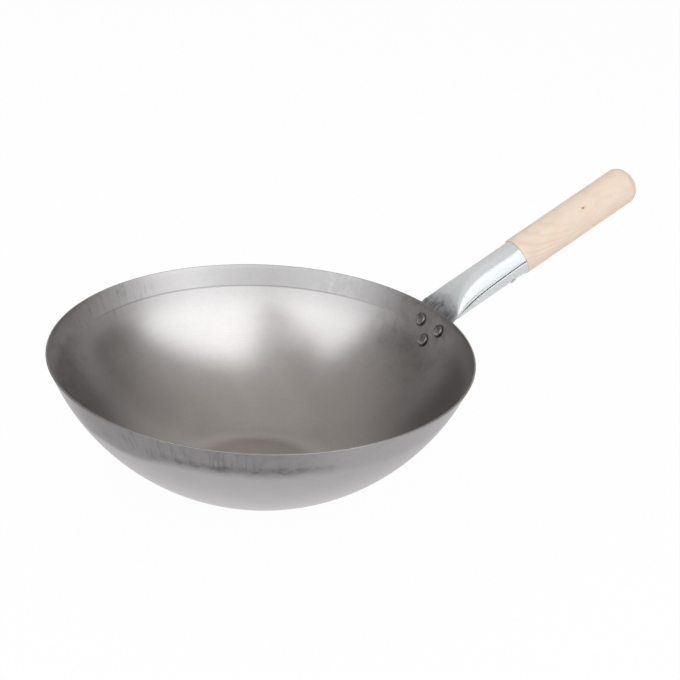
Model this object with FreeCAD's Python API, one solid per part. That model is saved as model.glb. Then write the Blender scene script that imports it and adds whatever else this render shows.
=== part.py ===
import FreeCAD, Part
import math
import os

# All lengths are in millimetres and all angles in degrees.
# The wok stands on its flat base at z = 0, the bowl turns about Z and the handle points along +X.

# Bowl, spun from one disc of steel
rim_diameter = 360.0          # outside, at the cut edge
bowl_height = 116.5           # from the table to the rim
base_diameter = 117.4         # where the floor and the curve of the wall would cross
knee_radius = 65.0            # outside bend between floor and wall
bowl_sheet = 1.5
band_width = 20.0             # straight band under the rim, down its slope
band_lean = 24.2              # of the band, away from upright
rim_rounding = 0.5

# Handle socket, a tube rolled from sheet and pressed flat at its root
socket_sheet = 1.5
tube_diameter = 32.3
socket_length = 88.5          # from the bend's corner to the mouth
round_length = 24.0           # stretch behind the mouth that is a full round tube
opening_power = 3.1           # the pressed tube opens fast at the root and slowly near the round stretch
handle_rise = 24.2            # of the handle, above level
bend_rise = 2.1               # of the bend's corner, above the rim
bend_radius = 8.0
mouth_flare = 1.5             # by which the tube's underside turns out at the mouth
crown_flare = 0.4             # and its top
flare_length = 8.0
crown_flat = 0.6              # narrow flat that is left along the top and bottom of the round tube
layer_gap = 0.5               # between the two layers where the tube begins to open
seam_gap = 1.9                # along most of the tube
seam_opening = 14.0           # distance from the bend in which the seam opens to that gap
seam_angle = 81.0             # of the seam at the mouth, from the top towards -Y

# Rivets that hold the socket to the bowl
rivet_diameter = 6.0
rivet_head_diameter = 11.0
rivet_head_height = 2.2
rivet_head_land = 0.6         # upright edge below the dome
rivet_spread = 27.8           # between the two upper rivets
upper_rivet_drop = 14.0       # down the wall from the rim
lower_rivet_drop = 29.0

# Wood grip
grip_diameter = 35.0
grip_length = 136.0           # from the mouth to the end
grip_end_radius = 12.0
grip_edge_radius = 0.8        # at the shoulder

# Nail through the socket into the grip
nail_diameter = 2.6
nail_length = 13.0
nail_point = 3.0              # of that length
nail_head_diameter = 6.0
nail_head_height = 1.0
nail_head_land = 0.3          # upright edge below the dome
nail_setback = 16.0           # from the mouth
nail_angle = 138.0            # from the top towards -Y

# Fits
seat_gap = 0.1                # between faces that are clamped together
hole_gap = 0.1                # around a shank, per side
tenon_gap = 0.2               # around the tenon, per side
tenon_tip_gap = 1.0           # from the tenon's tip to the end of the round tube

section_step = 6.0            # distance that sets how many cross-sections shape the socket
root_crowding = 1.4           # draws them towards the bend

lean = math.radians(band_lean)
up_band = FreeCAD.Vector(math.sin(lean), 0, math.cos(lean))
out_of_band = FreeCAD.Vector(math.cos(lean), 0, -math.sin(lean))
rim_point = FreeCAD.Vector(rim_diameter / 2, 0, bowl_height)
rise = math.radians(handle_rise)
along_handle = FreeCAD.Vector(math.cos(rise), 0, math.sin(rise))
above_handle = FreeCAD.Vector(-math.sin(rise), 0, math.cos(rise))
sideways = FreeCAD.Vector(0, 1, 0)

# The bowl's wall is an arc centred on the axis, through the crease under the band and the base's edge.
crease = rim_point - up_band * band_width
base_radius = base_diameter / 2
arc_height = (crease.x**2 + crease.z**2 - base_radius**2) / (2 * crease.z)
arc_centre = FreeCAD.Vector(0, 0, arc_height)
arc_radius = math.hypot(base_radius, arc_height)
crease_tilt = math.atan2(crease.x, arc_height - crease.z)
wall_curl = 1 / (2 * arc_radius)

# The socket's line runs up the outside of the band, turns at the corner and follows the handle.
tab_offset = seat_gap + socket_sheet
corner = rim_point + up_band * bend_rise + out_of_band * tab_offset
bend_turn = math.pi / 2 - lean - rise
bend_tangent = bend_radius * math.tan(bend_turn / 2)
tube_radius = tube_diameter / 2
mouth = corner + along_handle * socket_length
tube_run = socket_length - bend_tangent
opening_length = tube_run - round_length
tenon_length = round_length - tenon_tip_gap

# Pressed flat, the tube is half its girth wide, and the tab keeps that margin round every rivet.
tab_half_width = math.pi * (tube_diameter - 2 * socket_sheet) / 4 + socket_sheet - seam_gap / 4
tab_margin = tab_half_width - rivet_spread / 2
tab_length = lower_rivet_drop + tab_margin


def at_tilt(tilt, radius):
    """Vector of a given length in the XZ plane, tilted away from straight down."""
    return FreeCAD.Vector(radius * math.sin(tilt), 0, -radius * math.cos(tilt))


def closed_face(curves):
    edges = Part.sortEdges([curve.toShape() for curve in curves])[0]
    return Part.Face(Part.Wire(edges))


def spin(curves, centre=FreeCAD.Vector(), axis=FreeCAD.Vector(0, 0, 1)):
    """Solid of revolution from the curves of a closed half profile."""
    return closed_face(curves).revolve(centre, axis, 360)


def bowl_side(inset):
    """Half profile of the bowl from the axis to the rim, moved inwards by inset."""
    knee_x = math.sqrt((arc_radius - knee_radius)**2 - (arc_height - knee_radius)**2)
    knee_centre = FreeCAD.Vector(knee_x, 0, knee_radius)
    knee_tilt = math.atan2(knee_x, arc_height - knee_radius)

    floor_middle = FreeCAD.Vector(0, 0, inset)
    floor_edge = knee_centre + at_tilt(0, knee_radius - inset)
    knee_middle = knee_centre + at_tilt(knee_tilt / 2, knee_radius - inset)
    knee_end = knee_centre + at_tilt(knee_tilt, knee_radius - inset)
    wall_middle = arc_centre + at_tilt((knee_tilt + crease_tilt) / 2, arc_radius - inset)
    towards_inside = -out_of_band - at_tilt(crease_tilt, 1)
    towards_inside.normalize()
    wall_end = crease + towards_inside * inset
    rim = rim_point - FreeCAD.Vector(inset / math.cos(lean), 0, 0)
    return [
        Part.LineSegment(floor_middle, floor_edge),
        Part.Arc(floor_edge, knee_middle, knee_end),
        Part.Arc(knee_end, wall_middle, wall_end),
        Part.LineSegment(wall_end, rim),
    ]


def make_bowl():
    outside = bowl_side(0)
    inside = bowl_side(bowl_sheet)
    rim_cut = Part.LineSegment(outside[-1].EndPoint, inside[-1].EndPoint)
    on_axis = Part.LineSegment(outside[0].StartPoint, inside[0].StartPoint)
    bowl = spin(outside + inside + [rim_cut, on_axis])
    rim_edges = [edge for edge in bowl.Edges if edge.BoundBox.ZMin > bowl_height - rim_rounding]
    bowl = bowl.makeFillet(rim_rounding, rim_edges)
    return bowl.cut(Part.makeCompound(rivet_holes()))


def wall_spot(drop):
    """Point on the bowl's outside, below the rim by drop along the wall, and the way out of the wall."""
    if drop <= band_width:
        return rim_point - up_band * drop, out_of_band
    out = at_tilt(crease_tilt - (drop - band_width) / arc_radius, 1)
    return arc_centre + out * arc_radius, out


def rivet_spots():
    """Name, point on the bowl's outside and way out of the wall for each rivet."""
    high, high_out = wall_spot(upper_rivet_drop)
    low, low_out = wall_spot(lower_rivet_drop)
    swing = math.degrees(math.asin(rivet_spread / 2 / high.x))
    spots = [("rivet_lower", low, low_out)]
    for name, angle in (("rivet_upper_left", swing), ("rivet_upper_right", -swing)):
        turn = FreeCAD.Rotation(FreeCAD.Vector(0, 0, 1), angle)
        spots.append((name, turn.multVec(high), turn.multVec(high_out)))
    return spots


def rivet_holes():
    radius = rivet_diameter / 2 + hole_gap
    depth = 4 * (bowl_sheet + 2 * socket_sheet)
    return [Part.makeCylinder(radius, depth, spot - out * depth / 2, out) for _, spot, out in rivet_spots()]


def domed_head(foot, outward, diameter, height, land):
    """Low button head that stands on foot and rises outward."""
    across = outward.cross(along_handle)
    across.normalize()
    radius = diameter / 2
    edge = foot + across * radius
    shoulder = edge + outward * land
    crown = foot + outward * height
    dome_height = height - land
    dome_radius = (radius**2 + dome_height**2) / (2 * dome_height)
    half_turn = math.asin(radius / dome_radius) / 2
    dome_centre = crown - outward * dome_radius
    dome_middle = dome_centre + (outward * math.cos(half_turn) + across * math.sin(half_turn)) * dome_radius
    profile = [
        Part.LineSegment(foot, edge),
        Part.LineSegment(edge, shoulder),
        Part.Arc(shoulder, dome_middle, crown),
        Part.LineSegment(crown, foot),
    ]
    return spin(profile, foot, outward)


def make_rivet(spot, out):
    """Rivet through the bowl and both layers of the tab, with a head on each side."""
    inner_foot = spot - out * (bowl_sheet + seat_gap)
    outer_foot = spot + out * (2 * seat_gap + 2 * socket_sheet)
    shank_length = (outer_foot - inner_foot).Length
    shank = Part.makeCylinder(rivet_diameter / 2, shank_length, inner_foot, out)
    head = (rivet_head_diameter, rivet_head_height, rivet_head_land)
    inner_head = domed_head(inner_foot, -out, *head)
    outer_head = domed_head(outer_foot, out, *head)
    return shank.fuse([inner_head, outer_head]).removeSplitter()


def section(centre, along, half_height, opened, curl, inset):
    """Slot-shaped cross-section of the socket, from sheet of one width, which can curl round the bowl."""
    above = along.cross(sideways)
    flat = max(math.pi * (tube_radius - half_height) / 2 - seam_gap * (1 - opened) / 4, crown_flat / 2)
    high = max(half_height - inset, layer_gap / 2)

    def spot(y, lift):
        return centre + sideways * y + above * (lift + curl * y * y)

    def across(lift, side):
        if curl:
            return Part.Arc(spot(-side * flat, lift), spot(0, lift), spot(side * flat, lift))
        return Part.LineSegment(spot(-side * flat, lift), spot(side * flat, lift))

    def end(side):
        tip = spot(side * (flat + high), 0)
        return Part.Arc(spot(side * flat, side * high), tip, spot(side * flat, -side * high))

    curves = [across(high, 1), end(1), across(-high, -1), end(-1)]
    return Part.Wire([curve.toShape() for curve in curves])


def shares(length):
    """Even steps from 0 to 1, none longer than the section step."""
    count = math.ceil(length / section_step)
    return [step / count for step in range(count + 1)]


def tab_sections():
    """Cross-sections from the tab's lower end up to the start of the bend."""
    run = tab_length - (bend_tangent - bend_rise)
    wires = []
    for share in shares(run):
        to_bend = run * (1 - share)**root_crowding
        spot, out = wall_spot(tab_length - run + to_bend)
        up = out.cross(sideways)
        wires.append(section(spot + out * tab_offset, up, socket_sheet, 0, wall_curl, 0))
    return wires


def bend_section():
    """Cross-section in the middle of the bend, where the tab's curl has half run out."""
    pivot = corner - up_band * bend_tangent + out_of_band * bend_radius
    angle = lean + bend_turn / 2
    outward = FreeCAD.Vector(math.cos(angle), 0, -math.sin(angle))
    return section(pivot - outward * bend_radius, outward.cross(sideways), socket_sheet, 0, wall_curl / 2, 0)


def tube_sections(inset, overrun):
    """Cross-sections from the end of the bend to the mouth, where the pressed tube opens to a round one."""
    wires = []
    for share in shares(tube_run):
        distance = tube_run * share**root_crowding
        closed = max(0, 1 - distance / opening_length)**opening_power
        half_height = tube_radius - (tube_radius - socket_sheet) * closed
        flare = max(0, 1 - (tube_run - distance) / flare_length)**2
        half_height += flare * (mouth_flare + crown_flare) / 2
        centre = corner + along_handle * (bend_tangent + distance + overrun * share)
        centre -= above_handle * (flare * (mouth_flare - crown_flare) / 2)
        opened = min(1, distance / seam_opening)
        wires.append(section(centre, along_handle, half_height, opened, 0, inset))
    return wires


def tab_trim():
    """What lies outside the tab's outline, which goes round the three rivets at an even margin."""
    side = rivet_spread / 2
    facing = math.atan2(side, lower_rivet_drop - upper_rivet_drop)
    far = 2 * tab_margin

    def on_tab(y, drop):
        return rim_point + sideways * y - up_band * drop

    def beside(y, drop, angle):
        return on_tab(y + tab_margin * math.cos(angle), drop + tab_margin * math.sin(angle))

    def around(y, drop, first, last):
        return Part.Arc(*[beside(y, drop, angle) for angle in (first, (first + last) / 2, last)])

    left_turn = around(side, upper_rivet_drop, 0, facing)
    tip_turn = around(0, lower_rivet_drop, facing, math.pi - facing)
    right_turn = around(-side, upper_rivet_drop, math.pi - facing, math.pi)
    bottom = tab_length + far
    frame = [
        left_turn.StartPoint,
        on_tab(tab_half_width + far, upper_rivet_drop),
        on_tab(tab_half_width + far, bottom),
        on_tab(-tab_half_width - far, bottom),
        on_tab(-tab_half_width - far, upper_rivet_drop),
        right_turn.EndPoint,
    ]
    curves = [Part.LineSegment(a, b) for a, b in zip(frame, frame[1:])]
    curves.append(Part.LineSegment(left_turn.EndPoint, tip_turn.StartPoint))
    curves.append(Part.LineSegment(tip_turn.EndPoint, right_turn.StartPoint))
    face = closed_face(curves + [left_turn, tip_turn, right_turn])
    face.translate(out_of_band * -far)
    return face.extrude(out_of_band * (2 * far))


def seam_slit():
    """Slit from the bend to the mouth, through the tube's wall on the -Y side."""
    start = corner + along_handle * bend_tangent
    end = mouth + along_handle * socket_sheet
    end += above_handle * (tube_radius * math.cos(math.radians(seam_angle)))
    open_spot = start + (end - start) * (seam_opening / tube_run)
    half_start = above_handle * (layer_gap / 2)
    half_gap = above_handle * (seam_gap / 2)
    lower_edge = [start - half_start, open_spot - half_gap, end - half_gap]
    upper_edge = [end + half_gap, open_spot + half_gap, start + half_start]
    corners = lower_edge + upper_edge
    face = Part.Face(Part.makePolygon(corners + corners[:1]))
    face.translate(sideways * (-tube_radius / 2))
    return face.extrude(sideways * -tube_diameter)


def make_socket():
    """Tab, bend and tube in one sheet: lofted, hollowed, slit along its seam, trimmed and drilled."""
    outline = tab_sections() + [bend_section()] + tube_sections(0, 0)
    socket = Part.makeLoft(outline, True, False)
    hollow = Part.makeLoft(tube_sections(socket_sheet, socket_sheet), True, False)
    for cutter in [hollow, seam_slit(), tab_trim(), nail_hole()] + rivet_holes():
        socket = socket.cut(cutter)
    return socket


def nail_line():
    """Point under the nail's head, and the way from the handle's axis out to it."""
    angle = math.radians(nail_angle)
    outward = above_handle * math.cos(angle) - sideways * math.sin(angle)
    to_head = tube_radius + crown_flat / 2 * math.sin(angle) + seat_gap
    return mouth - along_handle * nail_setback + outward * to_head, outward


def nail_hole():
    foot, outward = nail_line()
    tip = foot - outward * (nail_length + hole_gap)
    return Part.makeCylinder(nail_diameter / 2 + hole_gap, 2 * nail_length, tip, outward)


def make_nail():
    foot, outward = nail_line()
    shank_length = nail_length - nail_point
    shank = Part.makeCylinder(nail_diameter / 2, shank_length, foot, -outward)
    point = Part.makeCone(nail_diameter / 2, 0, nail_point, foot - outward * shank_length, -outward)
    head = domed_head(foot, outward, nail_head_diameter, nail_head_height, nail_head_land)
    return head.fuse([shank, point]).removeSplitter()


def make_grip():
    """Turned rod with a tenon in the socket and a rounded end."""
    tenon_radius = tube_radius - socket_sheet - tenon_gap
    grip_radius = grip_diameter / 2
    tip = -tenon_length
    shoulder = seat_gap

    def on_grip(distance, radius):
        return mouth + along_handle * distance + above_handle * radius

    def rounded(distance, radius, way):
        """Quarter turn between an end face at distance and the side of the grip."""
        cut = radius * (1 - math.sqrt(0.5))
        on_end = on_grip(distance, grip_radius - radius)
        between = on_grip(distance + way * cut, grip_radius - cut)
        on_side = on_grip(distance + way * radius, grip_radius)
        return Part.Arc(on_end, between, on_side)

    front_edge = rounded(shoulder, grip_edge_radius, 1)
    back_edge = rounded(grip_length, grip_end_radius, -1)
    tenon_and_end = [
        back_edge.StartPoint,
        on_grip(grip_length, 0),
        on_grip(tip, 0),
        on_grip(tip, tenon_radius),
        on_grip(shoulder, tenon_radius),
        front_edge.StartPoint,
    ]
    profile = [Part.LineSegment(a, b) for a, b in zip(tenon_and_end, tenon_and_end[1:])]
    profile.append(Part.LineSegment(front_edge.EndPoint, back_edge.EndPoint))
    return spin(profile + [front_edge, back_edge], mouth, along_handle).cut(nail_hole())


def make_parts():
    parts = {
        "bowl": make_bowl(),
        "handle_socket": make_socket(),
        "wood_grip": make_grip(),
        "retaining_nail": make_nail(),
    }
    for name, spot, out in rivet_spots():
        parts[name] = make_rivet(spot, out)
    return parts


os.makedirs("parts", exist_ok=True)
for name, shape in make_parts().items():
    shape.exportStep(f"parts/{name}.step")
    state = "valid" if shape.isValid() else "not valid"
    print(name, state, round(shape.Volume), "mm3")
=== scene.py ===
import bpy
import math
from collections import namedtuple
from mathutils import Matrix, Vector


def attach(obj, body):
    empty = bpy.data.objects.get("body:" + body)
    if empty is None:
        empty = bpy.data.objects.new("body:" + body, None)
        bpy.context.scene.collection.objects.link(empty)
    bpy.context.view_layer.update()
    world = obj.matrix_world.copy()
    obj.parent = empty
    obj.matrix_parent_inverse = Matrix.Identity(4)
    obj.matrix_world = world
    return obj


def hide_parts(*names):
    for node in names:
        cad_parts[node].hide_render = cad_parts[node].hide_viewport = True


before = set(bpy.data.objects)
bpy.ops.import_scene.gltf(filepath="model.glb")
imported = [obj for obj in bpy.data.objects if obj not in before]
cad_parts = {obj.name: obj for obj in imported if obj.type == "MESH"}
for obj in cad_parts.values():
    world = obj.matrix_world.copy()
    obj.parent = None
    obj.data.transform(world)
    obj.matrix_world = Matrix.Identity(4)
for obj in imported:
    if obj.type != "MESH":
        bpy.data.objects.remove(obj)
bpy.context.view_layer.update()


# Bowl: a disc of carbon steel, spun to a flat-bottomed bowl whose wall is an arc about a point on its axis.
# The wall has a satin spun face. The straight band under the rim was drawn in by a roller, so it is duller,
# ends in a fine crease, and has wrinkles and smudges here and there.
rim_radius = 0.180
bowl_height = 0.1165
base_radius = 0.0587
knee_radius = 0.065
bowl_sheet = 0.0015
band_width = 0.020
band_lean = math.radians(24.2)
rim_easing = 0.00045
rivet_spread = 0.0278
upper_rivet_drop = 0.014
lower_rivet_drop = 0.029
knee_steps = 14
wall_steps = 54
band_steps = 4
bowl_steps = 288
merge_distance = 0.00001
smooth_angle = math.radians(40)

up_band = Vector((math.sin(band_lean), 0, math.cos(band_lean)))
out_of_band = Vector((math.cos(band_lean), 0, -math.sin(band_lean)))
rim_point = Vector((rim_radius, 0, bowl_height))
crease = rim_point - up_band * band_width
arc_height = (crease.x**2 + crease.z**2 - base_radius**2) / (2 * crease.z)
arc_radius = math.hypot(base_radius, arc_height)
knee_x = math.sqrt((arc_radius - knee_radius)**2 - (arc_height - knee_radius)**2)
knee_turn = math.atan2(knee_x, arc_height - knee_radius)
crease_tilt = math.atan2(crease.x, arc_height - crease.z)


def wall_spot(drop):
    """Point on the bowl's outside, below the rim by drop along the wall, and the way out of the wall."""
    if drop <= band_width:
        return rim_point - up_band * drop, out_of_band
    tilt = crease_tilt - (drop - band_width) / arc_radius
    out = Vector((math.sin(tilt), 0, -math.cos(tilt)))
    return Vector((0, 0, arc_height)) + out * arc_radius, out


rivet_swing = math.asin(rivet_spread / 2 / wall_spot(upper_rivet_drop)[0].x)
rivet_places = (
    ("rivet_lower", lower_rivet_drop, 0.0),
    ("rivet_upper_left", upper_rivet_drop, rivet_swing),
    ("rivet_upper_right", upper_rivet_drop, -rivet_swing),
)


def start_profile(name, place):
    """Object with one point at a place, in edit mode, from which a profile is drawn."""
    bpy.ops.object.select_all(action="DESELECT")
    bpy.ops.mesh.primitive_plane_add(size=0.01)
    piece = bpy.context.object
    piece.name = name
    bpy.ops.object.mode_set(mode="EDIT")
    bpy.ops.mesh.select_all(action="SELECT")
    bpy.ops.mesh.merge(type="CENTER")
    bpy.ops.transform.translate(value=place)
    return piece


def draw_line(*step):
    bpy.ops.mesh.extrude_region_move(TRANSFORM_OT_translate={"value": step})


def draw_arc(centre, turn, steps):
    bpy.ops.mesh.spin(steps=steps, angle=turn, center=centre, axis=(0, 1, 0))


def spin_profile(steps):
    """Turns the drawn profile about Z and leaves a closed mesh in object mode."""
    bpy.ops.mesh.select_all(action="SELECT")
    bpy.ops.mesh.spin(steps=steps, angle=2 * math.pi, center=(0, 0, 0), axis=(0, 0, 1))
    bpy.ops.mesh.select_all(action="SELECT")
    bpy.ops.mesh.remove_doubles(threshold=merge_distance)
    bpy.ops.mesh.normals_make_consistent(inside=False)
    bpy.ops.object.mode_set(mode="OBJECT")


def apply_modifier(piece, kind, **options):
    modifier = piece.modifiers.new(kind.lower(), kind)
    for option, value in options.items():
        setattr(modifier, option, value)
    bpy.ops.object.modifier_apply(modifier=modifier.name)


def ease_edges(piece, width, sharper_than):
    """Rounds the edges that turn by more than an angle in degrees."""
    apply_modifier(piece, "BEVEL", width=width, segments=3, limit_method="ANGLE",
                   angle_limit=math.radians(sharper_than))


class Nodes:
    """Shader nodes of a material or of the world, put together step by step."""

    def __init__(self, owner):
        owner.use_nodes = True
        self.owner = owner
        self.tree = owner.node_tree

    def add(self, kind, inputs=None, **options):
        """Adds a node, sets its inputs or joins them to other nodes' outputs, and gives its outputs."""
        made = self.tree.nodes.new("ShaderNode" + kind)
        for option, value in options.items():
            setattr(made, option, value)
        for key, value in (inputs or {}).items():
            self.give(made.inputs[key], value)
        return made.outputs

    def give(self, socket, value):
        if isinstance(value, bpy.types.NodeSocket):
            self.tree.links.new(value, socket)
        else:
            socket.default_value = value

    def maths(self, operation, *values):
        return self.add("Math", dict(enumerate(values)), operation=operation)[0]

    def chain(self, operation, first, *others):
        for other in others:
            first = self.maths(operation, first, other)
        return first

    def times(self, *values):
        return self.chain("MULTIPLY", *values)

    def plus(self, *values):
        return self.chain("ADD", *values)

    def most(self, *values):
        return self.chain("MAXIMUM", *values)

    def ramp(self, value, start, end, low=0.0, high=1.0):
        """Smooth change from low to high while value goes from start to end."""
        inputs = {"Value": value, "From Min": start, "From Max": end, "To Min": low, "To Max": high}
        return self.add("MapRange", inputs, interpolation_type="SMOOTHSTEP")["Result"]

    def noise(self, vector, scale, detail=2.0, rough=0.5):
        inputs = {"Vector": vector, "Scale": scale, "Detail": detail, "Roughness": rough}
        return self.add("TexNoise", inputs)["Fac"]

    def vector(self, *values):
        return self.add("CombineXYZ", dict(enumerate(values)))[0]

    def length(self, vector):
        return self.add("VectorMath", {0: vector}, operation="LENGTH")["Value"]

    def stretched(self, vector, *scales):
        return self.add("VectorMath", {0: vector, 1: scales}, operation="MULTIPLY")[0]

    def distance(self, vector, point):
        return self.add("VectorMath", {0: vector, 1: point}, operation="DISTANCE")["Value"]

    def blend(self, factor, first, second, way="MIX"):
        made = self.tree.nodes.new("ShaderNodeMix")
        made.data_type = "RGBA"
        made.blend_type = way
        self.give(made.inputs[0], factor)
        for socket, colour in ((made.inputs[6], first), (made.inputs[7], second)):
            self.give(socket, (*colour, 1) if isinstance(colour, tuple) else colour)
        return made.outputs[2]

    def shaded(self, colour, shade):
        """A colour made darker or lighter by a factor."""
        grey = self.add("CombineColor", {0: shade, 1: shade, 2: shade})[0]
        return self.blend(1.0, colour, grey, "MULTIPLY")


class Finish(Nodes):
    """Material with one main shader, whose textures lie on the object's own coordinates."""

    def __init__(self, name, metallic):
        super().__init__(bpy.data.materials.new(name))
        self.shader = self.tree.nodes["Principled BSDF"]
        self.shader.inputs["Metallic"].default_value = metallic
        self.place = self.add("TexCoord")["Object"]

    def wear(self, colour, roughness, height, strength, depth):
        """Gives the main shader its colour, its roughness and a relief."""
        relief = self.add("Bump", {"Height": height, "Strength": strength, "Distance": depth})[0]
        for socket, value in (("Base Color", colour), ("Roughness", roughness), ("Normal", relief)):
            self.give(self.shader.inputs[socket], value)


class SpunSteel(Finish):
    """Satin spun steel, with places measured round the bowl and up from its crease."""

    # Distance between the rings that the spinning tool left
    ring_pitch = 0.0011
    # How finely the rings change both ways across the bowl
    ring_change = (18.0, 18.0)
    # How finely the wrinkles lie round the bowl, up it and outwards
    wrinkle_scales = (62.0, 30.0, 4.0)
    # Share of an arc's half width over which a mark keeps its full strength
    full_share = 0.45

    def __init__(self, name, crease_z):
        super().__init__(name, 1.0)
        x, y, z = self.add("SeparateXYZ", {0: self.place})
        radius = self.length(self.vector(x, y))
        self.around = self.maths("ARCTAN2", y, x)
        self.above_crease = self.maths("SUBTRACT", z, crease_z)
        tilt = self.maths("ARCTAN2", radius, self.maths("SUBTRACT", arc_height, z))
        ring_place = self.stretched(self.vector(tilt, x, y), arc_radius / self.ring_pitch, *self.ring_change)
        self.rings = self.noise(ring_place, 1.0, detail=3.0, rough=0.6)
        self.clouds = self.noise(self.place, 16.0, detail=3.0, rough=0.55)
        self.mottle = self.noise(self.place, 210.0, detail=4.0, rough=0.65)
        self.grain = self.noise(self.place, 900.0, rough=0.6)
        self.blotches = self.ramp(self.noise(self.place, 95.0, detail=4.0, rough=0.65), 0.42, 0.68)
        wrinkle_place = self.stretched(self.vector(self.around, z, radius), *self.wrinkle_scales)
        self.wrinkles = self.ramp(self.noise(wrinkle_place, 1.0, detail=3.0, rough=0.62), 0.47, 0.72)

    def within(self, *arcs):
        """1 about the middle of any of these arcs round the bowl, 0 beyond their ends."""
        return self.most(*[self.on_arc(*arc) for arc in arcs])

    def on_arc(self, middle, half_width):
        """1 about the middle of an arc round the bowl, 0 beyond its ends, in degrees from the handle."""
        off = self.maths("SUBTRACT", self.around, math.radians(middle))
        away = self.maths("ABSOLUTE", self.maths("WRAP", off, math.pi, -math.pi))
        return self.ramp(away, math.radians(half_width), math.radians(half_width * self.full_share))

    def by_height(self, start, end, low=0.0, high=1.0):
        """Smooth change from low to high between two heights above the crease."""
        return self.ramp(self.above_crease, start, end, low, high)

    def line(self, height, edge, core):
        """1 where a height is about zero, within a core either way, and 0 beyond an edge."""
        return self.ramp(self.maths("ABSOLUTE", height), edge, core)

    def spot(self, point, edge, core):
        """1 within a core about a point, and 0 beyond an edge."""
        return self.ramp(self.distance(self.place, point), edge, core)

    def spun_shade(self, *marks):
        """Light and dark of the spun face, lowered wherever a mark lies by that mark's depth."""
        shade = self.times(self.ramp(self.clouds, 0.25, 0.75, 0.95, 1.05),
                           self.ramp(self.mottle, 0.25, 0.75, 0.985, 1.015),
                           self.ramp(self.rings, 0.2, 0.8, 0.98, 1.02),
                           self.ramp(self.grain, 0.2, 0.8, 0.97, 1.03))
        for mark, depth in marks:
            shade = self.times(shade, self.maths("SUBTRACT", 1.0, self.times(mark, depth)))
        return shade

    def spun_relief(self, *marks):
        """Relief of the rings and the grain, sunk wherever a mark lies."""
        relief = self.plus(self.times(self.rings, 0.5), self.times(self.grain, 0.25))
        for mark in marks:
            relief = self.plus(relief, self.times(mark, -2.0))
        return relief


bowl = start_profile("spun_bowl", (0, 0, 0))
draw_line(knee_x, 0, 0)
draw_arc((knee_x, 0, knee_radius), knee_turn, knee_steps)
draw_arc((0, 0, arc_height), crease_tilt - knee_turn, wall_steps)
for step in range(band_steps):
    draw_line(*(up_band * band_width / band_steps))
spin_profile(bowl_steps)
apply_modifier(bowl, "SOLIDIFY", thickness=bowl_sheet, offset=-1, use_even_offset=True)
ease_edges(bowl, rim_easing, sharper_than=50)
bpy.ops.object.shade_smooth_by_angle(angle=smooth_angle)

# Inside face: a satin wall, a slightly duller band with a fine crease, rivet grime, painted light and shade
inside_wall_tone = (0.615, 0.586, 0.582)
inside_band_tone = (0.538, 0.518, 0.519)
inside_crease_rise = 0.0007
# An arc is its middle and half width round the bowl, in degrees from the handle
band_arc = (70, 80)
crease_arc = (70, 60)
tuck_arc = (114, 22)
dark_reflection_arcs = ((170, 55), (-50, 50))
handled_arcs = ((2, 26), (165, 42))
pale_arc = (37, 10)
band_light_arc = (99, 30)
rivet_shadow_shift = Vector((-0.0004, -0.0006, -0.0007))
smear_shift = Vector((-0.002, -0.008, -0.006))

inside = SpunSteel("spun_steel_inside", crease.z + inside_crease_rise)
on_band = inside.times(inside.by_height(-0.0003, 0.0005), inside.within(band_arc))
# painted shade: a fine dark line along the crease's groove
crease_line = inside.times(inside.line(inside.above_crease, 0.0010, 0.0002), inside.within(crease_arc))
tucks = inside.times(inside.wrinkles, inside.ramp(inside.blotches, 0.0, 1.0, 0.25, 1.0),
                     inside.within(tuck_arc), inside.by_height(-0.010, 0.001))
# painted reflection: the wall is painted darker on both sides towards the rim, in place of dark reflections
painted_dark_reflection = inside.times(inside.within(*dark_reflection_arcs), inside.by_height(-0.095, -0.045),
                    inside.by_height(-0.004, 0.010, 1.0, 0.58))
handled = inside.times(inside.blotches, inside.within(*handled_arcs), inside.by_height(-0.060, -0.015))
pale = inside.times(inside.blotches, inside.within(pale_arc), on_band)
# painted light: the band's left part is painted lighter, in place of the lamp's reflection there
painted_band_light = inside.times(inside.within(band_light_arc), on_band)
head_places = []
for node, drop, swing in rivet_places:
    spot, out = wall_spot(drop)
    head_places.append(Matrix.Rotation(swing, 3, "Z") @ (spot - out * bowl_sheet))
# grime and painted contact shadow: a dark ring round each head, shifted down to where its shadow falls
rivet_grime_and_shadow = inside.most(*[inside.spot(head + rivet_shadow_shift, 0.0068, 0.0056) for head in head_places])
rivet_grime_and_shadow = inside.times(rivet_grime_and_shadow, inside.ramp(inside.grain, 0.3, 0.6, 0.6, 1.0))
smear = inside.times(inside.spot(head_places[-1] + smear_shift, 0.009, 0.003), inside.blotches)
inside_shade = inside.spun_shade((tucks, 0.36), (painted_dark_reflection, 0.56), (handled, 0.18), (crease_line, 0.30),
                                 (rivet_grime_and_shadow, 0.65), (smear, 0.30), (pale, -0.16), (painted_band_light, -0.20))
inside_tone = inside.blend(on_band, inside_wall_tone, inside_band_tone)
inside_roughness = inside.plus(inside.by_height(-0.024, -0.001, 0.295, 0.41), inside.times(on_band, 0.04),
                               inside.ramp(inside.clouds, 0.25, 0.75, -0.02, 0.02))
inside.wear(inside.shaded(inside_tone, inside_shade), inside_roughness,
            inside.spun_relief(tucks, crease_line), strength=0.2, depth=0.0001)

# Outside face: paler towards the base, its band dull and folded on one side and weakly dull elsewhere
outside_base_tone = (0.515, 0.49, 0.505)
outside_wall_tone = (0.365, 0.352, 0.36)
outside_dull_tone = (0.262, 0.252, 0.256)
dull_arc = (-140, 50)
half_dull_arc = (-97, 46)
bright_arc = (-45, 60)
half_dullness = 0.25
sagging_arc = (-168, 26)
sag = 0.006
smudged_arc = (-124, 30)
smudge_drop = 0.0012
fold_arcs = ((-141, 9), (-129, 11), (-152, 6))

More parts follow.
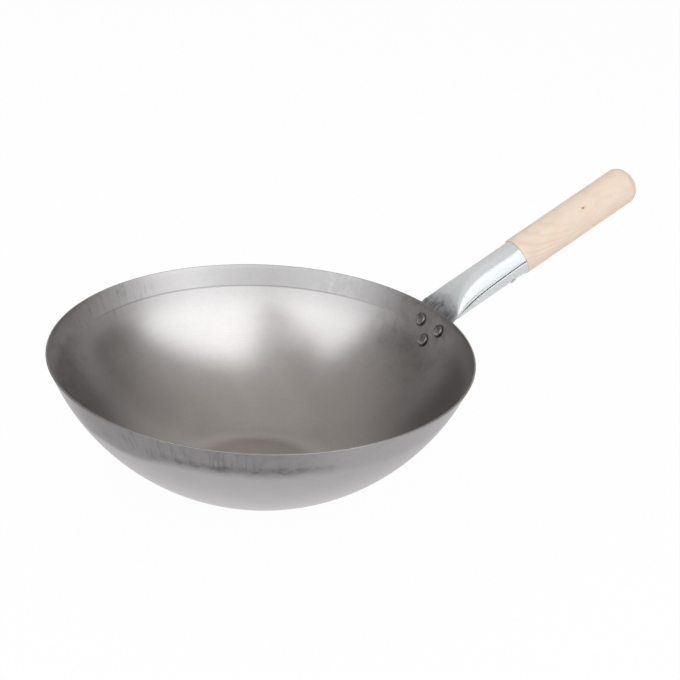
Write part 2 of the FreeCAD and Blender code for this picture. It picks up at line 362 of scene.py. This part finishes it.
outside = SpunSteel("spun_steel_outside", crease.z)
edge_drift = outside.noise(outside.place, 60.0, detail=4.0, rough=0.6)
over_edge = outside.plus(outside.above_crease, outside.ramp(edge_drift, 0.25, 0.75, -0.0010, 0.0010),
                         outside.times(outside.within(sagging_arc), sag))
half_dull = outside.most(outside.within(half_dull_arc),
                         outside.maths("SUBTRACT", 1.0, outside.within(bright_arc)))
dull = outside.times(outside.ramp(over_edge, -0.0130, -0.0015),
                     outside.most(outside.within(dull_arc), outside.times(half_dull, half_dullness)))
smudged = outside.times(outside.line(outside.plus(over_edge, smudge_drop), 0.0060, 0.0004),
                        outside.within(smudged_arc), outside.ramp(outside.blotches, 0.0, 1.0, 0.45, 1.0))
folds = outside.times(outside.within(*fold_arcs), outside.wrinkles, outside.by_height(-0.004, 0.001),
                      outside.by_height(0.019, 0.002, 0.35, 1.0))
dull_blotches = outside.times(dull, outside.blotches)
outside_shade = outside.spun_shade((smudged, 0.42), (folds, 0.36), (dull_blotches, 0.10))
outside_tone = outside.blend(outside.by_height(-0.100, 0.0), outside_base_tone, outside_wall_tone)
outside_tone = outside.blend(dull, outside_tone, outside_dull_tone)
outside_roughness = outside.plus(outside.ramp(dull, 0.0, 1.0, 0.36, 0.50),
                                 outside.ramp(outside.clouds, 0.25, 0.75, -0.03, 0.03))
outside.wear(outside.shaded(outside_tone, outside_shade), outside_roughness,
             outside.spun_relief(folds), strength=0.25, depth=0.0001)

# Cut edge at the rim, bright and a little nicked
cut_tones = ((0.40, 0.39, 0.385), (0.56, 0.55, 0.545))
cut_edge = Finish("cut_steel_edge", 1.0)
nicks = cut_edge.noise(cut_edge.place, 400.0, detail=3.0)
cut_edge.wear(cut_edge.blend(nicks, *cut_tones), cut_edge.ramp(nicks, 0.3, 0.7, 0.35, 0.45),
              nicks, strength=0.2, depth=0.0001)

for finish in (inside, outside, cut_edge):
    bowl.data.materials.append(finish.owner)
inside_slot, outside_slot, cut_slot = range(3)
for face in bowl.data.polygons:
    outward = face.center - Vector((0, 0, arc_height))
    facing = face.normal.dot(outward.normalized())
    face.material_index = inside_slot if facing < 0 else outside_slot
    if abs(facing) <= 0.5:
        face.material_index = cut_slot
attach(bowl, "root")
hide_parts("bowl")


# Handle socket: a blank of zinc-plated sheet, rolled to a tube with an open seam along its near side.
# Its root is pressed flat, bent down and cut to a rounded tab that lies against the outside of the bowl.
socket_sheet = 0.0015
tube_radius = 0.01615
socket_length = 0.0885
round_length = 0.024
opening_power = 3.1
handle_rise = math.radians(24.2)
bend_rise = 0.0021
bend_radius = 0.008
mouth_flare = 0.0015
crown_flare = 0.0004
flare_length = 0.008
# The blank is short of the tube's girth by the gap, of which the slit is left between the turned-in lips
seam_gap = 0.0019
seam_slit = 0.0010
seam_opening = 0.014
seam_angle = math.radians(81)
lip_width = 0.0018
lip_dip = 0.0004
# The tab's sides go from folds at the upper rivets to cut edges within this length
squaring_length = 0.004
seat_gap = 0.0001
# The two pressed layers are kept this far apart
layer_gap = 0.00004
girth_steps = 168
tip_steps = 16
tip_step_turn = math.radians(4)
tab_steps = 40
bend_steps = 10
tube_steps = 96
root_crowding = 1.25

along_handle = Vector((math.cos(handle_rise), 0, math.sin(handle_rise)))
above_handle = Vector((-math.sin(handle_rise), 0, math.cos(handle_rise)))
sideways = Vector((0, 1, 0))
tab_offset = seat_gap + socket_sheet
corner = rim_point + up_band * bend_rise + out_of_band * tab_offset
bend_turn = math.pi / 2 - band_lean - handle_rise
bend_tangent = bend_radius * math.tan(bend_turn / 2)
bend_drop = bend_tangent - bend_rise
pivot = corner - up_band * bend_tangent + out_of_band * bend_radius
mouth = corner + along_handle * socket_length
tube_run = socket_length - bend_tangent
opening_length = tube_run - round_length
tab_half_width = math.pi * (tube_radius - socket_sheet) / 2 + socket_sheet - seam_gap / 4
tab_margin = tab_half_width - rivet_spread / 2
tab_taper = math.atan2(rivet_spread / 2, lower_rivet_drop - upper_rivet_drop)
wall_curl = 1 / (2 * arc_radius)

# A row of points round the socket has a centre, a way up, half a height, a share of the tab's full width,
# a squareness of its sides, a curl round the bowl, an opened share of its seam and the seam's lift
SocketRow = namedtuple("SocketRow", "centre above high width square curl opened seam_lift",
                       defaults=(1, 0, 0, 0, 0))


def tab_reach(drop):
    """Half width of the tab, whose outline goes round the rivets at an even margin."""
    side = rivet_spread / 2
    turned = tab_margin * math.sin(tab_taper)
    if drop < upper_rivet_drop:
        return tab_half_width
    if drop < upper_rivet_drop + turned:
        return side + math.sqrt(tab_margin**2 - (drop - upper_rivet_drop)**2)
    if drop > lower_rivet_drop + turned:
        return math.sqrt(max(0, tab_margin**2 - (drop - lower_rivet_drop)**2))
    share = (drop - upper_rivet_drop - turned) / (lower_rivet_drop - upper_rivet_drop)
    return tab_margin * math.cos(tab_taper) + side * (1 - share)


def tab_row(drop):
    """Row across the flat tab, below the rim by drop along the wall."""
    spot, out = wall_spot(drop)
    square = min(1, max(0, (drop - upper_rivet_drop) / squaring_length))
    return SocketRow(spot + out * tab_offset, -out, socket_sheet, width=tab_reach(drop) / tab_half_width,
                     square=square, curl=wall_curl)


def bend_row(share):
    """Row across the flat bend, a share of the way from the tab to the tube."""
    angle = band_lean + share * bend_turn
    inward = Vector((-math.cos(angle), 0, math.sin(angle)))
    return SocketRow(pivot + inward * bend_radius, inward, socket_sheet, curl=wall_curl * (1 - share))


def tube_row(share):
    """Row round the tube, which opens from flat to round and flares at its mouth."""
    distance = tube_run * share
    closed = max(0, 1 - distance / opening_length)**opening_power
    half_height = tube_radius - (tube_radius - socket_sheet) * closed
    flare = max(0, 1 - (tube_run - distance) / flare_length)**2
    half_height += flare * (mouth_flare + crown_flare) / 2
    lowered = flare * (mouth_flare - crown_flare) / 2
    centre = corner + along_handle * (bend_tangent + distance) - above_handle * lowered
    return SocketRow(centre, above_handle, half_height, opened=min(1, distance / seam_opening),
                     seam_lift=tube_radius * math.cos(seam_angle) * share + lowered)


tip_drops = [lower_rivet_drop + tab_margin * math.cos(tip_step_turn * step) for step in range(tip_steps)]
plain_run = bend_drop - tip_drops[-1]
plain_drops = [tip_drops[-1] + plain_run * step / tab_steps for step in range(1, tab_steps + 1)]
socket_rows = [tab_row(drop) for drop in tip_drops + plain_drops]
socket_rows += [bend_row(step / bend_steps) for step in range(1, bend_steps)]
socket_rows += [tube_row((step / tube_steps)**root_crowding) for step in range(tube_steps + 1)]


def slot_point(high, flat, way):
    """Place across and up on a slot's outline, some way along it from its near end over its top."""
    quarter = math.pi * high / 2
    if way < quarter:
        return -flat - high * math.cos(way / high), high * math.sin(way / high)
    if way < quarter + 2 * flat:
        return way - quarter - flat, high
    if way < 3 * quarter + 2 * flat:
        turn = (way - quarter - 2 * flat) / high
        return flat + high * math.sin(turn), high * math.cos(turn)
    if way < 3 * quarter + 4 * flat:
        return 3 * quarter + 3 * flat - way, -high
    turn = (way - 3 * quarter - 4 * flat) / high
    return -flat - high * math.sin(turn), -high * math.cos(turn)


def squared_point(y, lift, high, flat, square):
    """The same place once the slot's round end is pushed out towards a square one, as on a cut edge."""
    reach = (abs(y) - flat) / high
    rise = lift / high
    push = 1 + (1 / max(abs(reach), abs(rise)) - 1) * square
    return math.copysign(flat + high * reach * push, y), high * rise * push


def rolled(row, share):
    """Point on the socket's outside, a share of the way round from the seam's upper lip to its lower one."""
    high = row.high
    flat = max(math.pi * (tube_radius - high) / 2 - seam_gap * (1 - row.opened) / 4, 0)
    girth = 2 * math.pi * high + 4 * flat
    slit = seam_slit * row.opened
    way = high * math.asin(row.seam_lift / high) + slit / 2 + share * (girth - slit)
    y, lift = slot_point(high, flat, way % girth)
    if row.square and abs(y) > flat:
        y, lift = squared_point(y, lift, high, flat, row.square)
    from_lip = min(share, 1 - share) * (girth - slit)
    if row.opened and from_lip < lip_width:
        turned_in = 1 - lip_dip * row.opened * (1 - from_lip / lip_width)**2 / high
        y = (y + flat) * turned_in - flat
        lift *= turned_in
    y *= row.width
    return row.centre + sideways * y + row.above * (lift + row.curl * y * y)


last_row = len(socket_rows) - 1
bpy.ops.object.select_all(action="DESELECT")
bpy.ops.mesh.primitive_grid_add(x_subdivisions=girth_steps, y_subdivisions=last_row, size=1)
handle_socket = bpy.context.object
handle_socket.name = "rolled_socket"
for point in handle_socket.data.vertices:
    row = socket_rows[round((point.co.y + 0.5) * last_row)]
    point.co = rolled(row, point.co.x + 0.5)
bpy.ops.object.mode_set(mode="EDIT")
bpy.ops.mesh.select_all(action="SELECT")
bpy.ops.mesh.remove_doubles(threshold=merge_distance)
bpy.ops.mesh.flip_normals()
bpy.ops.object.mode_set(mode="OBJECT")


def along_grain(finish):
    """Coordinates whose X runs along the handle from the socket's mouth."""
    start = Matrix.Rotation(handle_rise, 3, "Y") @ mouth
    inputs = {"Vector": finish.place, "Rotation": (0, handle_rise, 0), "Location": -start}
    return finish.add("Mapping", inputs)[0]


# Plating: milky, but the pressed root is rubbed bare and darker, partly as painted reflection and shade
zinc_tones = ((0.743, 0.764, 0.771), (0.774, 0.794, 0.80))
drawn_tone = (0.707, 0.728, 0.738)
rubbed_and_shaded_tones = ((0.345, 0.356, 0.364), (0.655, 0.67, 0.68))
rubbed_metal = 0.85
milky_metal = 0.32

plated = Finish("zinc_plating", 1.0)
plated_place = along_grain(plated)
from_mouth, aside, over_axis = plated.add("SeparateXYZ", {0: plated_place})
drawn_lines = plated.noise(plated.stretched(plated_place, 0.05, 1, 1), 420.0)
bloom = plated.noise(plated_place, 60.0)
root_patch_line = plated.plus(from_mouth, plated.times(plated.maths("ABSOLUTE", aside), 0.3))
milky = plated.ramp(root_patch_line, -0.086, -0.070)
zinc_tone = plated.blend(plated.ramp(bloom, 0.3, 0.7), *zinc_tones)
zinc_tone = plated.blend(plated.ramp(drawn_lines, 0.35, 0.75, 0.0, 0.15), zinc_tone, drawn_tone)
# painted light and shade: the plating is painted lighter towards the root and darker under the axis
zinc_painted_shade_and_light = plated.times(plated.ramp(from_mouth, -0.035, -0.062, 1.0, 1.03),
                          plated.ramp(over_axis, 0.003, -0.001, 1.0, 0.87))
rub_marks = plated.noise(plated.stretched(plated_place, 0.25, 1, 1), 300.0, detail=4.0, rough=0.65)
# painted reflection and shade: the rubbed root is painted darker than bare plating, darker still at the bend
rubbed_and_shaded_tone = plated.blend(plated.ramp(rub_marks, 0.36, 0.64), *rubbed_and_shaded_tones)
bend_painted_shade = plated.ramp(from_mouth, -0.079, -0.088, 1.0, 0.62)
plated_tone = plated.blend(milky, plated.shaded(rubbed_and_shaded_tone, bend_painted_shade),
                           plated.shaded(zinc_tone, zinc_painted_shade_and_light))
plated_roughness = plated.plus(plated.ramp(bloom, 0.3, 0.7, 0.18, 0.21),
                               plated.ramp(milky, 0.0, 1.0, 0.50, 0.0))
plated.wear(plated_tone, plated_roughness, drawn_lines, strength=0.03, depth=0.00004)
plated.give(plated.shader.inputs["Metallic"], plated.ramp(milky, 0.0, 1.0, rubbed_metal, milky_metal))

# Inner side and cut edges: bare steel, dark partly of its own and partly as painted shade in the seam's slit
# and at the mouth
bare_and_shade_tones = ((0.12, 0.12, 0.126), (0.22, 0.22, 0.228))
bare_and_shaded = Finish("dark_rolled_steel", 1.0)
skin = bare_and_shaded.noise(bare_and_shaded.place, 300.0, detail=3.0, rough=0.6)
bare_and_shaded.wear(bare_and_shaded.blend(bare_and_shaded.ramp(skin, 0.3, 0.7), *bare_and_shade_tones), bare_and_shaded.ramp(skin, 0.3, 0.7, 0.5, 0.7),
          skin, strength=0.2, depth=0.0001)

for finish in (plated, bare_and_shaded):
    handle_socket.data.materials.append(finish.owner)
apply_modifier(handle_socket, "SOLIDIFY", thickness=socket_sheet - layer_gap / 2, offset=-1,
               material_offset=1, material_offset_rim=1)
bpy.ops.object.shade_smooth_by_angle(angle=smooth_angle)
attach(handle_socket, "root")
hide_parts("handle_socket")


# Rivets: three solid steel rivets through the bowl and both layers of the tab.
# Each has a low, round-shouldered head inside the bowl and one outside, a little marked where it was struck
# and darker at its edge, with grime and a painted contact shadow.
rivet_radius = 0.003
head_radius = 0.0055
head_height = 0.0022
head_land = 0.0006
shoulder_radius = 0.0014
rivet_easing = 0.0003
crown_steps = 4
shoulder_steps = 10
rivet_steps = 48
rivet_tones = ((0.33, 0.317, 0.312), (0.52, 0.50, 0.492))
edge_darkening_start = 0.0044
edge_darkening_full = 0.0054
edge_darkening_level = 0.35

rivet_grip = bowl_sheet + 2 * socket_sheet + 3 * seat_gap
inner_crown = -bowl_sheet - seat_gap - head_height
outer_crown = inner_crown + rivet_grip + 2 * head_height
crown_rise = head_height - head_land - shoulder_radius
crown_reach = head_radius - shoulder_radius
crown_turn = 2 * math.atan2(crown_rise, crown_reach)
crown_radius = crown_reach / math.sin(crown_turn) + shoulder_radius
shoulder_depth = crown_rise + shoulder_radius
shoulder_turn = math.pi / 2 - crown_turn

rivet = start_profile("rivet_lower_steel", (0, 0, inner_crown))
draw_arc((0, 0, inner_crown + crown_radius), crown_turn, crown_steps)
draw_arc((crown_reach, 0, inner_crown + shoulder_depth), shoulder_turn, shoulder_steps)
draw_line(0, 0, head_land)
draw_line(rivet_radius - head_radius, 0, 0)
draw_line(0, 0, rivet_grip)
draw_line(head_radius - rivet_radius, 0, 0)
draw_line(0, 0, head_land)
draw_arc((crown_reach, 0, outer_crown - shoulder_depth), shoulder_turn, shoulder_steps)
draw_arc((0, 0, outer_crown - crown_radius), crown_turn, crown_steps)
spin_profile(rivet_steps)
ease_edges(rivet, rivet_easing, sharper_than=35)
bpy.ops.object.shade_smooth_by_angle(angle=smooth_angle)

from_axis = rivet.data.attributes.new("from_axis", "FLOAT", "POINT")
for point, measured in zip(rivet.data.vertices, from_axis.data):
    measured.value = math.hypot(point.co.x, point.co.y)

rivet_steel = Finish("rivet_steel", 1.0)
struck = rivet_steel.noise(rivet_steel.place, 520.0, detail=3.0, rough=0.6)
rivet_tone = rivet_steel.blend(rivet_steel.ramp(struck, 0.3, 0.7), *rivet_tones)
to_edge = rivet_steel.add("Attribute", attribute_name="from_axis")["Fac"]
# grime and painted contact shadow: the head darkens towards its edge, where it meets the wall
edge_grime_and_shadow = rivet_steel.ramp(to_edge, edge_darkening_start, edge_darkening_full, 1.0, edge_darkening_level)
rivet_steel.wear(rivet_steel.shaded(rivet_tone, edge_grime_and_shadow), rivet_steel.ramp(struck, 0.3, 0.7, 0.28, 0.42),
                 struck, strength=0.3, depth=0.0003)
rivet.data.materials.append(rivet_steel.owner)


def turned_along(way):
    """Turn that points Z along a way."""
    return way.to_track_quat("Z", "Y").to_matrix().to_4x4()


for node, drop, swing in rivet_places[1:]:
    bpy.ops.object.select_all(action="DESELECT")
    rivet.select_set(True)
    bpy.context.view_layer.objects.active = rivet
    bpy.ops.object.duplicate()
    bpy.context.object.name = node + "_steel"
for node, drop, swing in rivet_places:
    rivet = bpy.data.objects[node + "_steel"]
    spot, out = wall_spot(drop)
    rivet.data.transform(Matrix.Rotation(swing, 4, "Z") @ Matrix.Translation(spot) @ turned_along(out))
    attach(rivet, "root")
    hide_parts(node)


# Wood grip: a turned rod of pale beech with a tenon that is driven into the socket's mouth.
# Its shoulder is eased, its end is bull-nosed, and it is only sanded, so the grain and a small knot show.
grip_radius = 0.0175
grip_length = 0.136
grip_end_radius = 0.012
shoulder_edge = 0.0008
tenon_gap = 0.0002
tenon_tip_gap = 0.001
edge_steps = 6
rod_steps = 24
end_steps = 20
grip_steps = 128
knot_place = (0.0739, -0.0117, 0.0130)
knot_stretch = 0.6
pith_y = 0.0019
pith_z = -0.0222
pith_slope = 0.19
year_ring = 0.0032
ring_wander = 0.005
beech_tones = ((0.855, 0.685, 0.555), (0.895, 0.735, 0.605))
rosy_tone = (0.87, 0.645, 0.50)
flame_tone = (0.76, 0.60, 0.475)
fibre_tone = (0.70, 0.56, 0.43)
fleck_tone = (0.62, 0.46, 0.33)
knot_halo_tone = (0.80, 0.58, 0.43)
knot_tone = (0.16, 0.10, 0.06)
# painted shade: the tenon is darkened inside the socket's mouth, where shade falls
tenon_shade_tone = (0.30, 0.24, 0.20)

tenon_radius = tube_radius - socket_sheet - tenon_gap
tenon_length = round_length - tenon_tip_gap
rod_run = grip_length - grip_end_radius - shoulder_edge - seat_gap
wood_grip = start_profile("turned_grip", (0, 0, -tenon_length))
draw_line(tenon_radius, 0, 0)
draw_line(0, 0, tenon_length + seat_gap)
draw_line(grip_radius - shoulder_edge - tenon_radius, 0, 0)
draw_arc((grip_radius - shoulder_edge, 0, seat_gap + shoulder_edge), math.pi / 2, edge_steps)
for step in range(rod_steps):
    draw_line(0, 0, rod_run / rod_steps)
draw_arc((grip_radius - grip_end_radius, 0, grip_length - grip_end_radius), math.pi / 2, end_steps)
draw_line(grip_end_radius - grip_radius, 0, 0)
spin_profile(grip_steps)
bpy.ops.object.shade_smooth_by_angle(angle=smooth_angle)
wood_grip.data.transform(Matrix.Translation(mouth) @ turned_along(along_handle))

beech = Finish("sanded_beech", 0.0)
beech_place = along_grain(beech)
along, across, above = beech.add("SeparateXYZ", {0: beech_place})
# The year rings' pith is outside the rod and out of line with it, so they cross it as flames near the mouth
wander = beech.noise(beech.stretched(beech_place, 0.35, 1, 1), 42.0, detail=3.0)
from_pith = beech.length(beech.vector(beech.plus(across, -pith_y), beech.plus(above, -pith_z)))
ring_radius = beech.plus(from_pith, beech.times(along, pith_slope), beech.times(wander, ring_wander))
flames = beech.ramp(beech.maths("SINE", beech.times(ring_radius, 2 * math.pi / year_ring)), -0.3, 1.0)
flames = beech.times(flames, beech.ramp(along, 0.075, 0.020, 0.18, 1.0))
fibres = beech.noise(beech.stretched(beech_place, 0.05, 1, 1), 1500.0, detail=3.0, rough=0.6)
flecks = beech.ramp(beech.noise(beech.stretched(beech_place, 0.22, 1, 1), 900.0, detail=1.0), 0.66, 0.76)
mottle = beech.noise(beech.stretched(beech_place, 0.4, 1, 1), 150.0, detail=3.0, rough=0.55)
rosy = beech.noise(beech.stretched(beech_place, 0.45, 1, 1), 85.0, detail=3.0, rough=0.6)
knot_middle = (knot_place[0] * knot_stretch, *knot_place[1:])
from_knot = beech.distance(beech.stretched(beech_place, knot_stretch, 1, 1), knot_middle)
beech_tone = beech.blend(beech.ramp(mottle, 0.3, 0.7), *beech_tones)
for amount, tone in (
    (beech.ramp(rosy, 0.48, 0.66, 0.0, 0.5), rosy_tone),
    (beech.times(flames, 0.45), flame_tone),
    (beech.ramp(fibres, 0.45, 0.8, 0.0, 0.12), fibre_tone),
    (beech.times(flecks, 0.10), fleck_tone),
    (beech.ramp(from_knot, 0.0036, 0.0008, 0.0, 0.6), knot_halo_tone),
    (beech.ramp(from_knot, 0.0011, 0.0004, 0.0, 0.9), knot_tone),
    # painted shade inside the socket's mouth
    (beech.ramp(along, 0.0002, -0.0008), tenon_shade_tone),
):
    beech_tone = beech.blend(amount, beech_tone, tone)
beech_relief = beech.plus(beech.times(flames, -0.1), beech.times(fibres, -1.0))
beech.wear(beech_tone, beech.ramp(fibres, 0.3, 0.8, 0.55, 0.72), beech_relief, strength=0.2, depth=0.0001)
wood_grip.data.materials.append(beech.owner)
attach(wood_grip, "root")
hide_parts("wood_grip")


# Retaining nail: a short steel nail with a flat domed head.
# It is driven through the socket's underside into the tenon.
nail_radius = 0.0013
nail_length = 0.013
nail_point = 0.003
nail_head_radius = 0.003
nail_head_height = 0.001
nail_head_land = 0.0003
nail_setback = 0.016
nail_angle = math.radians(138)
nail_seat = 0.0003
dome_steps = 8
nail_steps = 32
nail_tones = ((0.52, 0.54, 0.55), (0.74, 0.76, 0.77))

nail_dome = nail_head_height - nail_head_land
nail_dome_radius = (nail_head_radius**2 + nail_dome**2) / (2 * nail_dome)
nail_dome_turn = math.asin(nail_head_radius / nail_dome_radius)
nail = start_profile("driven_nail", (0, 0, -nail_length))
draw_line(nail_radius, 0, nail_point)
draw_line(0, 0, nail_length - nail_point)
draw_line(nail_head_radius - nail_radius, 0, 0)
draw_line(0, 0, nail_head_land)
draw_arc((0, 0, nail_head_height - nail_dome_radius), nail_dome_turn, dome_steps)
spin_profile(nail_steps)
bpy.ops.object.shade_smooth_by_angle(angle=smooth_angle)
nail_out = above_handle * math.cos(nail_angle) - sideways * math.sin(nail_angle)
nail_foot = mouth - along_handle * nail_setback + nail_out * (tube_radius + nail_seat)
nail.data.transform(Matrix.Translation(nail_foot) @ turned_along(nail_out))

nail_steel = Finish("nail_steel", 1.0)
hammered = nail_steel.noise(nail_steel.place, 900.0, detail=3.0)
nail_steel.wear(nail_steel.blend(hammered, *nail_tones), nail_steel.ramp(hammered, 0.3, 0.7, 0.25, 0.38),
                hammered, strength=0.3, depth=0.0002)
nail.data.materials.append(nail_steel.owner)
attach(nail, "root")
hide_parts("retaining_nail")


# Studio: a floor that looks white, keeps the bowl's shadow and is clear from below, before a white backdrop.
# Soft lamps stand to the right, to the left and in front and one hangs above, and what the steel mirrors
# of the surround is dim low down, lighter above and lightest opposite the camera.
floor_radius = 12
floor_drop = 0.0002
floor_tone = (0.9, 0.9, 0.9, 1)
floor_glow_share = 0.97
plain_white = (1, 1, 1, 1)
lamp_tone = (0.945, 0.98, 1.0)
surround_tone = (1.0, 0.952, 0.90, 1)
surround_gain = 0.48
surround_offset = -0.035
surround_least = 0.06
light_patch_way = (0.55, 0.81, 0.20)
light_patch_level = 0.42
camera_aim = Vector((0.09157, 0.02155, 0.09649))

bpy.ops.object.select_all(action="DESELECT")
bpy.ops.mesh.primitive_circle_add(vertices=96, radius=floor_radius, fill_type="NGON",
                                  location=(0, 0, -floor_drop))
floor = bpy.context.object
floor.name = "floor"
white = Finish("floor_white", 0.0)
white.shader.inputs["Base Color"].default_value = floor_tone
white.shader.inputs["Roughness"].default_value = 0.9
ray = white.add("LightPath")
seen = white.most(ray["Is Camera Ray"], ray["Is Glossy Ray"], ray["Is Transmission Ray"])
glow = white.add("Emission", {"Color": plain_white, "Strength": 1.0})[0]
glow_share = white.times(seen, floor_glow_share)
from_above = white.add("MixShader", {0: glow_share, 1: white.shader.outputs[0], 2: glow})[0]
from_below = white.add("BsdfTransparent")[0]
turned_away = white.add("NewGeometry")["Backfacing"]
both_sides = white.add("MixShader", {0: turned_away, 1: from_above, 2: from_below})[0]
white.give(white.tree.nodes["Material Output"].inputs["Surface"], both_sides)
floor.data.materials.append(white.owner)


def looking_at(aim, around, up, distance, roll):
    """Place and turn of a lamp or camera that looks at a point from a direction, in degrees."""
    around = math.radians(around)
    up = math.radians(up)
    way = Vector((math.cos(up) * math.cos(around), math.cos(up) * math.sin(around), math.sin(up)))
    rolled_over = Matrix.Rotation(math.radians(roll), 4, "Z")
    return Matrix.Translation(aim + way * distance) @ turned_along(way) @ rolled_over


def soft_lamp(name, around, up, distance, width, height, brightness, roll=0):
    """Rectangular lamp that faces the bowl from a direction, in degrees, and looks this bright."""
    lamp = bpy.data.lights.new(name, "AREA")
    lamp.shape = "RECTANGLE"
    lamp.size = width
    lamp.size_y = height
    lamp.energy = brightness * math.pi * width * height
    lamp.color = lamp_tone
    holder = bpy.data.objects.new(name, lamp)
    holder.matrix_world = looking_at(Vector((0, 0, 0)), around, up, distance, roll)
    holder.visible_camera = False
    bpy.context.scene.collection.objects.link(holder)
    return holder


soft_lamp("right_lamp", around=-79.5, up=33.3, distance=1.8, width=2.30, height=2.15,
          brightness=1.46, roll=-35)
soft_lamp("left_lamp", around=-163.5, up=29, distance=1.9, width=1.85, height=1.62,
          brightness=1.36, roll=-25)
soft_lamp("front_lamp", around=-137, up=42, distance=2.2, width=0.9, height=1.6, brightness=0.42)
top_lamp = soft_lamp("top_lamp", around=95, up=62, distance=1.6, width=1.2, height=1.2, brightness=1.5)
top_lamp.visible_glossy = False

surround = Nodes(bpy.data.worlds.new("surround"))
background = surround.tree.nodes["Background"]
surround_way = surround.add("TexCoord")["Generated"]
upwards = surround.add("SeparateXYZ", {0: surround_way})[2]
level = surround.maths("MULTIPLY_ADD", upwards, surround_gain, surround_offset)
patch_inputs = {0: surround_way, 1: light_patch_way}
to_patch = surround.add("VectorMath", patch_inputs, operation="DOT_PRODUCT")["Value"]
level = surround.plus(surround.most(level, surround_least),
                      surround.ramp(to_patch, 0.66, 0.96, 0.0, light_patch_level))
surround.give(background.inputs["Color"], surround_tone)
surround.give(background.inputs["Strength"], level)
backdrop = surround.add("Background", {"Color": plain_white, "Strength": 1.0})[0]
seen_straight = surround.add("LightPath")["Is Camera Ray"]
around_all = surround.add("MixShader", {0: seen_straight, 1: background.outputs[0], 2: backdrop})[0]
surround.give(surround.tree.nodes["World Output"].inputs["Surface"], around_all)
bpy.context.scene.world = surround.owner

camera_data = bpy.data.cameras.new("camera")
camera_data.lens = 90.0
camera_data.sensor_width = 36.0
camera = bpy.data.objects.new("camera", camera_data)
camera.matrix_world = looking_at(camera_aim, around=-123.285, up=25.631, distance=1.5, roll=3.474)
bpy.context.scene.collection.objects.link(camera)
bpy.context.scene.camera = camera
bpy.context.scene.view_settings.view_transform = "Standard"
